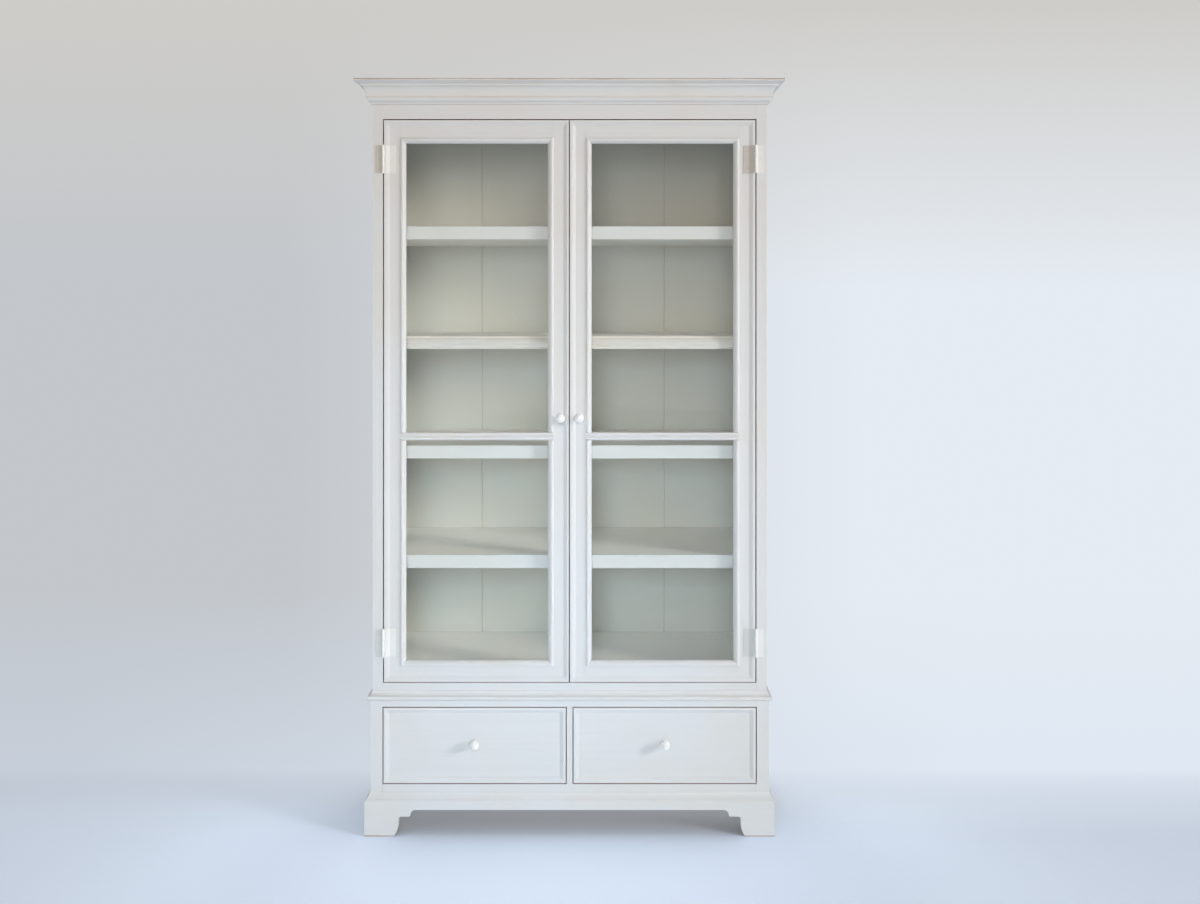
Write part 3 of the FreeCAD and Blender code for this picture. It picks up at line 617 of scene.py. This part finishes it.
class CABINET_OT_upper_case(bpy.types.Operator):
    """Paint the boards of the upper case and ease their arrises"""
    bl_idname = "cabinet.upper_case"
    bl_label = "Upper case"

    def execute(self, context):
        width = sizes().joint_arris
        for side in SIDES:
            finish_board("upper_%s_side" % side, "brushed_paint_z", "brushed_paint_z", width)
            finish_board("upper_%s_stile" % side, "brushed_paint_z", "brushed_paint_z", width)
        for name in ("frieze_rail", "upper_bottom_rail", "upper_top_board"):
            finish_board(name, "brushed_paint_x", "brushed_paint_x", width)
        floor = "upper_floor_board"
        # The floor board's top gets the paler inside coat, which is painted light.
        finish_board(floor, "inside_paint_x", "brushed_paint_x", width, front_as_arris=True)
        return {"FINISHED"}


class CABINET_OT_shelves(bpy.types.Operator):
    """Paint the shelves and ease their front edges"""
    bl_idname = "cabinet.shelves"
    bl_label = "Shelves"

    def execute(self, context):
        # Shelf tops get the paler inside coat, which is painted light.
        for name in sorted(n for n in NODES if n.startswith("shelf_")):
            # Shelf fronts get the cooler coat, which is painted light; the moulded shelf keeps the top coat.
            front = "brushed_paint_x" if name == MOULDED_SHELF else "shelf_front_x"
            finish_board(name, "inside_paint_x", front, sizes().arris, front_as_arris=True)
        return {"FINISHED"}


class CABINET_OT_back_boards(bpy.types.Operator):
    """Paint the inside of the upper back boards and leave the rest bare"""
    bl_idname = "cabinet.back_boards"
    bl_label = "Back boards"

    def execute(self, context):
        paint_node("upper_back_boards", "back_paint_z")
        paint_node("lower_back_boards", "planed_pine_z")
        return {"FINISHED"}


class CABINET_OT_mouldings(bpy.types.Operator):
    """Finish the cornice, the waist moulding and the plinth"""
    bl_idname = "cabinet.mouldings"
    bl_label = "Cornice, waist and plinth"

    def execute(self, context):
        low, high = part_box("upper_top_board")
        finish_moulding("cornice", "cornice_paint_x", high.x, low.y)
        # The waist moulding gets a weaker brown painted shade in its hollows.
        finish_moulding("waist_moulding", "wiped_paint_x", high.x, low.y)
        for name in ("plinth_front", "plinth_sides"):
            finish_board(name, "plinth_paint_x", "plinth_paint_x", sizes().plinth_arris)
        paint_node("plinth_blocks", "planed_pine_z")
        return {"FINISHED"}


class CABINET_OT_chest(bpy.types.Operator):
    """Paint the outside of the chest and leave its inner boards bare"""
    bl_idname = "cabinet.chest"
    bl_label = "Chest"

    def execute(self, context):
        width = sizes().joint_arris
        for side in SIDES:
            finish_board("lower_%s_side" % side, "brushed_paint_z", "brushed_paint_z", width)
            finish_board("lower_%s_stile" % side, "brushed_paint_z", "brushed_paint_z", width)
        for name in ("lower_top_rail", "lower_bottom_rail"):
            finish_board(name, "brushed_paint_x", "brushed_paint_x", width)
        finish_board("drawer_partition", "brushed_paint_z", "brushed_paint_z", width)
        paint_node("drawer_runners", "planed_pine_y")
        paint_node("lower_top_board", "planed_pine_x")
        paint_node("lower_bottom_board", "planed_pine_x")
        return {"FINISHED"}


class CABINET_OT_doors(bpy.types.Operator):
    """Paint the door frames with their bars and strips"""
    bl_idname = "cabinet.doors"
    bl_label = "Door frames"

    def execute(self, context):
        for side in SIDES:
            door = side + "_door_"
            for part in ("hinge_stile", "meeting_stile"):
                finish_board(door + part, "brushed_paint_z", "brushed_paint_z", sizes().joint_arris)
            for part in ("top_rail", "bottom_rail", "glazing_bar"):
                finish_board(door + part, "brushed_paint_x", "brushed_paint_x", sizes().joint_arris)
            paint_node(door + "glazing_strips", "brushed_paint_z")
        return {"FINISHED"}


class CABINET_OT_panes(bpy.types.Operator):
    """Set the panes of glass with ground edges"""
    bl_idname = "cabinet.panes"
    bl_label = "Panes"

    def execute(self, context):
        for side in SIDES:
            panes = side + "_door_panes"
            finish_board(panes, "window_glass", "window_glass", sizes().glass_arris)
        return {"FINISHED"}


class CABINET_OT_hinges(bpy.types.Operator):
    """Paint over the hinges, their pins and their screws"""
    bl_idname = "cabinet.hinges"
    bl_label = "Hinges"

    def execute(self, context):
        # Frame leaves and their screws: painted shadow on the left of the case, painted light on the right.
        self.leaves("hinge_frame_leaves", "frame_leaf_z")
        paint_node("hinge_frame_screws", "frame_leaf_z")
        # Pins in the paler paint: a painted highlight.
        paint_node("hinge_pins", "barrel_paint_z")
        # The left door's leaves are painted light, the right door's painted shadow.
        for side, surface in zip(SIDES, ("thick_leaf_z", "thin_leaf_z")):
            self.leaves(side + "_door_hinge_leaves", surface)
            paint_node(side + "_door_hinge_screws", surface)
        return {"FINISHED"}

    def leaves(self, node, surface):
        """Leaves in their paint, with the barrels in the paler paint of a painted highlight."""
        piece = finish_board(node, surface, "hinge_arris_z", sizes().hinge_arris)
        piece.data.materials.append(finish("barrel_paint_z"))
        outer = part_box("right_door_hinge_leaves")[1].x
        inner = outer - 2 * sizes().barrel_radius
        for face in piece.data.polygons:
            if inner < abs(face.center.x) < outer:
                face.material_index = 2


def knob_outline(radius, reach):
    """Points of a turned knob: distance from its axis, and distance out from its seat."""
    s = sizes()
    collar, neck, spigot = s.knob_collar, s.knob_neck, s.knob_spigot
    shoulder = collar - 0.6 * MM
    points = [(0, -s.knob_seat), (spigot, -s.knob_seat), (spigot, 0)]
    points += [(collar - 0.5 * MM, 0), (collar, 0.4 * MM), (collar, 1.9 * MM), (shoulder, s.collar_height)]
    for n in range(1, 8):
        way = n / 8
        points.append((neck + (shoulder - neck) * (1 - way) ** 2.2, s.collar_height + s.neck_length * way))
    points += [(neck, 10.2 * MM), (neck + 0.9 * MM, 10.8 * MM), (neck + 2.6 * MM, 11.9 * MM)]
    points += [(radius - 3.0 * MM, 14.5 * MM), (radius - 1.2 * MM, 16.0 * MM), (radius - 0.3 * MM, 17.7 * MM)]
    dome = reach - s.knob_rim
    last = math.acos(s.knob_groove / radius)
    for n in range(11):
        turn = last * n / 10
        points.append((radius * math.cos(turn), s.knob_rim + dome * math.sin(turn)))
    ring = s.knob_rim + dome * math.sin(last)
    button = s.knob_groove - 2 * s.groove_depth
    for inset in (0.4, 1.2):
        points.append((s.knob_groove - inset * s.groove_depth, ring - s.groove_depth))
    for n in range(6):
        turn = math.pi / 2 * n / 6
        points.append((button * math.cos(turn), ring + (reach - ring) * math.sin(turn)))
    return points + [(0, reach)]


def turn_knob(node):
    """Spins a knob's outline about its axis."""
    low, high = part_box(node)
    centre = (low + high) / 2
    seat = high.y - sizes().knob_seat
    outline = knob_outline((high.x - low.x) / 2, seat - low.y)
    bpy.ops.object.select_all(action="DESELECT")
    bpy.ops.mesh.primitive_circle_add(vertices=len(outline), fill_type="NOTHING")
    piece = bpy.context.object
    piece.name = node + "_finished"
    for vertex, (out, along) in zip(piece.data.vertices, outline):
        vertex.co = (centre.x + out, seat - along, centre.z)
    last = len(outline) - 1
    bpy.ops.object.mode_set(mode="EDIT")
    bpy.ops.mesh.select_mode(type="EDGE")
    bpy.ops.mesh.select_all(action="DESELECT")
    bpy.ops.object.mode_set(mode="OBJECT")
    for edge in piece.data.edges:
        edge.select = set(edge.vertices) == {0, last}
    bpy.ops.object.mode_set(mode="EDIT")
    bpy.ops.mesh.delete(type="EDGE")
    bpy.ops.mesh.select_all(action="SELECT")
    bpy.ops.mesh.spin(steps=sizes().knob_steps, angle=math.tau, center=(centre.x, seat, centre.z),
                      axis=(0, 1, 0))
    bpy.ops.mesh.select_all(action="SELECT")
    bpy.ops.mesh.remove_doubles(threshold=SPIN_MERGE_REACH)
    bpy.ops.mesh.normals_make_consistent(inside=False)
    bpy.ops.object.mode_set(mode="OBJECT")
    bpy.ops.object.shade_smooth_by_angle(angle=SHARP_ANGLE)
    # The knob is in the paler paint: a painted highlight.
    piece.data.materials.append(finish("barrel_paint_y"))
    hand_over(piece, node)


class CABINET_OT_knobs(bpy.types.Operator):
    """Turn the four knobs"""
    bl_idname = "cabinet.knobs"
    bl_label = "Knobs"

    def execute(self, context):
        for side in SIDES:
            turn_knob(side + "_door_knob")
            turn_knob(side + "_drawer_knob")
        return {"FINISHED"}


class CABINET_OT_drawers(bpy.types.Operator):
    """Paint the drawer fronts and leave the boxes bare"""
    bl_idname = "cabinet.drawers"
    bl_label = "Drawers"

    def execute(self, context):
        for side in SIDES:
            drawer = side + "_drawer_"
            finish_board(drawer + "front", "brushed_paint_x", "rubbed_arris_x", sizes().arris)
            paint_node(drawer + "walls", "planed_pine_x")
            paint_node(drawer + "bottom", "planed_pine_x")
        return {"FINISHED"}


def soft_light(name, watts, tint, place, target, width, spread_angle):
    """A square soft light that looks at a point, with louvres that keep its spread narrow."""
    bpy.ops.object.light_add(type="AREA", location=place)
    lamp = bpy.context.object
    lamp.name = name
    lamp.rotation_euler = (Vector(target) - Vector(place)).to_track_quat("-Z", "Y").to_euler()
    lamp.data.size = width
    lamp.data.spread = math.radians(spread_angle)
    lamp.data.energy = watts
    lamp.data.color = tint[:3]
    lamp.visible_camera = False
    return lamp


class CABINET_OT_stage(bpy.types.Operator):
    """Set up the floor, the backdrop, the light and the camera"""
    bl_idname = "cabinet.stage"
    bl_label = "Stage"

    def execute(self, context):
        scene = context.scene
        stage, c = scene.cabinet_stage, colours()
        self.floor(stage, c)
        self.backdrop(c)
        self.world(scene, stage, c)
        self.lights(stage, c)
        bpy.ops.object.camera_add(location=stage.camera_place, rotation=(math.pi / 2, 0, 0))
        camera = context.object
        camera.data.sensor_fit = "HORIZONTAL"
        camera.data.sensor_width = SENSOR_WIDTH
        camera.data.lens = stage.lens
        camera.data.shift_y = stage.shift
        scene.camera = camera
        scene.view_settings.view_transform = "Standard"
        return {"FINISHED"}

    def lights(self, stage, c):
        """Soft lights, of which reflections show only the key."""
        soft_light("key", stage.key, c.level, place=(6.0, -3.2, 2.6), target=(0.0, 0.0, 1.0),
                   width=1.4, spread_angle=60)
        front = soft_light("front", stage.front, c.top, place=(-0.3, -4.8, 3.6), target=(-0.3, 0.0, 1.8),
                           width=2.6, spread_angle=80)
        face = soft_light("face", stage.face, c.level, place=(-0.3, -6.4, 1.6), target=(-0.3, 0.0, 1.4),
                          width=2.2, spread_angle=60)
        low = soft_light("low", stage.low, c.low, place=(-0.2, -3.4, 1.7), target=(-0.1, 0.0, 0.4),
                         width=0.7, spread_angle=45)
        rear = soft_light("rear", stage.rear, c.level, place=(-2.6, 4.2, 1.3), target=(0.0, 0.0, 1.0),
                          width=2.0, spread_angle=60)
        crown = soft_light("crown", stage.crown, c.level, place=(0.0, 0.9, 4.5), target=(0.0, 0.0, 2.0),
                           width=0.6, spread_angle=32)
        for lamp in (front, face, low, rear, crown):
            lamp.visible_glossy = False

    def floor(self, stage, c):
        """A pale floor with painted shade under the cabinet and a painted glow; behind the cabinet and far
        away the camera sees it glow in the seam colours.
        """
        bpy.ops.object.select_all(action="DESELECT")
        bpy.ops.mesh.primitive_plane_add(size=FLOOR_SIZE)
        floor = bpy.context.object
        floor.name = "studio_floor"
        material, tree, principled, place = shader("studio_floor")
        cloud = add(tree, "TexNoise", {"Vector": place.outputs["Object"], "Scale": 0.8, "Detail": 2})
        pale = [min(1, x * 1.03) for x in c.floor[:3]] + [1]
        tone = blend(tree, cloud.outputs[0], c.floor, pale)
        open_sky = add(tree, "AmbientOcclusion", {"Distance": stage.shade_reach}, samples=8).outputs["AO"]
        # Painted shade: darker and browner under the cabinet, where the ambient occlusion is low.
        tone = blend(tree, spread(tree, open_sky, 0.1, 0.5, 0.6, 0), tone, c.floor_shade)
        spot = add(tree, "SeparateXYZ", {0: place.outputs["Object"]})
        # Painted light: the floor glows, more on the left than on the right and less in the cabinet's shade.
        lift = spread(tree, spot.outputs["X"], STAGE_LEFT, STAGE_RIGHT, stage.lift_left, stage.lift_right)
        lift = times(tree, lift, spread(tree, open_sky, 0.32, 0.9))
        tree.links.new(tone, principled.inputs["Base Color"])
        tree.links.new(tone, principled.inputs["Emission Color"])
        tree.links.new(lift, principled.inputs["Emission Strength"])
        principled.inputs["Roughness"].default_value = 0.7
        # Painted light: behind the cabinet and far away, the camera sees the floor glow in the seam colours,
        # darker on the left and paler on the right.
        across = spread(tree, spot.outputs["X"], STAGE_LEFT, STAGE_RIGHT)
        seam = blend(tree, across, c.seam_left, c.seam_right)
        glow = add(tree, "Emission", {"Color": seam, "Strength": 1})
        away = add(tree, "VectorMath", {0: place.outputs["Object"]}, operation="LENGTH").outputs["Value"]
        behind = spread(tree, spot.outputs["Y"], -0.2, CAD_BOX[1][1])
        outside = add(tree, "Math", {0: behind, 1: spread(tree, away, 1.8, 4.5)}, operation="MAXIMUM")
        far = times(tree, add(tree, "LightPath").outputs["Is Camera Ray"], outside.outputs[0])
        mixed = add(tree, "MixShader", {0: far, 1: principled.outputs["BSDF"], 2: glow.outputs[0]})
        tree.links.new(mixed.outputs[0], find(tree, "OUTPUT_MATERIAL").inputs["Surface"])
        floor.data.materials.append(material)

    def backdrop(self, c):
        """A card behind the cabinet that only the camera sees, and only from the front."""
        bpy.ops.object.select_all(action="DESELECT")
        bpy.ops.mesh.primitive_plane_add(size=BACKDROP_SIZE, rotation=(math.pi / 2, 0, 0),
                                         location=(0, CAD_BOX[1][1] + BACKDROP_GAP, BACKDROP_SIZE / 2))
        bpy.ops.object.transform_apply()
        card = bpy.context.object
        card.name = "studio_backdrop"
        material, tree, principled, place = shader("studio_backdrop")
        tree.nodes.remove(principled)
        output = find(tree, "OUTPUT_MATERIAL")
        spot = add(tree, "SeparateXYZ", {0: place.outputs["Object"]})
        across, level = spot.outputs["X"], spot.outputs["Z"]
        # Painted light: the card glows darker on the left and above the cabinet and paler on the right, as
        # light falls on a wall.
        tone = blend(tree, spread(tree, across, -0.9, 0.9), c.wall_left, c.wall_right)
        tone = blend(tree, spread(tree, level, 1.5, 2.4), tone, c.wall_top)
        foot = blend(tree, spread(tree, across, STAGE_LEFT, STAGE_RIGHT), c.seam_left, c.seam_right)
        tone = blend(tree, spread(tree, level, 0.0, 0.55, 1, 0), tone, foot)
        glow = add(tree, "Emission", {"Color": tone, "Strength": 1})
        gone = add(tree, "BsdfTransparent")
        rays = add(tree, "LightPath")
        side = add(tree, "NewGeometry")
        front = add(tree, "Math", {0: 1.0, 1: side.outputs["Backfacing"]}, operation="SUBTRACT")
        seen = times(tree, front.outputs[0], rays.outputs["Is Camera Ray"])
        mixed = add(tree, "MixShader", {0: seen, 1: gone.outputs[0], 2: glow.outputs[0]})
        tree.links.new(mixed.outputs[0], output.inputs["Surface"])
        card.data.materials.append(material)

    def world(self, scene, stage, c):
        """Even light from all round, and a pale surround for sight, reflections and glass."""
        world = bpy.data.worlds.new("studio")
        world.use_nodes = True
        scene.world = world
        tree = world.node_tree
        tree.nodes.clear()
        rays = add(tree, "LightPath")
        around = add(tree, "Background", {"Color": c.ambient, "Strength": stage.ambient})
        sight = add(tree, "Background", {"Color": c.wall_right, "Strength": 1})
        seen = rays.outputs["Is Camera Ray"]
        for kind in ("Is Glossy Ray", "Is Transmission Ray"):
            seen = add(tree, "Math", {0: seen, 1: rays.outputs[kind]}, operation="MAXIMUM").outputs[0]
        mixed = add(tree, "MixShader", {0: seen, 1: around.outputs[0], 2: sight.outputs[0]})
        add(tree, "OutputWorld", {"Surface": mixed.outputs[0]})


OPERATORS = (CABINET_OT_upper_case, CABINET_OT_shelves, CABINET_OT_back_boards, CABINET_OT_mouldings,
             CABINET_OT_chest, CABINET_OT_doors, CABINET_OT_panes, CABINET_OT_hinges, CABINET_OT_knobs,
             CABINET_OT_drawers, CABINET_OT_stage)


class CABINET_PT_sidebar(bpy.types.Panel):
    """Steps, sizes and colours of the display cabinet"""
    bl_idname = "CABINET_PT_sidebar"
    bl_label = "Display cabinet"
    bl_space_type = "VIEW_3D"
    bl_region_type = "UI"
    bl_category = "Cabinet"

    def draw(self, context):
        for step in OPERATORS:
            self.layout.operator(step.bl_idname)
        for group in ("cabinet_sizes", "cabinet_wear", "cabinet_colours", "cabinet_stage"):
            settings = getattr(context.scene, group)
            for name in settings.bl_rna.properties.keys():
                if name not in ("rna_type", "name"):
                    self.layout.prop(settings, name)


CLASSES = (CabinetSizes, CabinetWear, CabinetColours, CabinetStage) + OPERATORS + (CABINET_PT_sidebar,)


def register():
    for made in CLASSES:
        bpy.utils.register_class(made)
    bpy.types.Scene.cabinet_sizes = PointerProperty(type=CabinetSizes)
    bpy.types.Scene.cabinet_wear = PointerProperty(type=CabinetWear)
    bpy.types.Scene.cabinet_colours = PointerProperty(type=CabinetColours)
    bpy.types.Scene.cabinet_stage = PointerProperty(type=CabinetStage)


def unregister():
    del bpy.types.Scene.cabinet_stage
    del bpy.types.Scene.cabinet_colours
    del bpy.types.Scene.cabinet_wear
    del bpy.types.Scene.cabinet_sizes
    for made in reversed(CLASSES):
        bpy.utils.unregister_class(made)


def main():
    register()
    for step in OPERATORS:
        family, name = step.bl_idname.split(".")
        getattr(getattr(bpy.ops, family), name)()


if __name__ == "__main__":
    main()
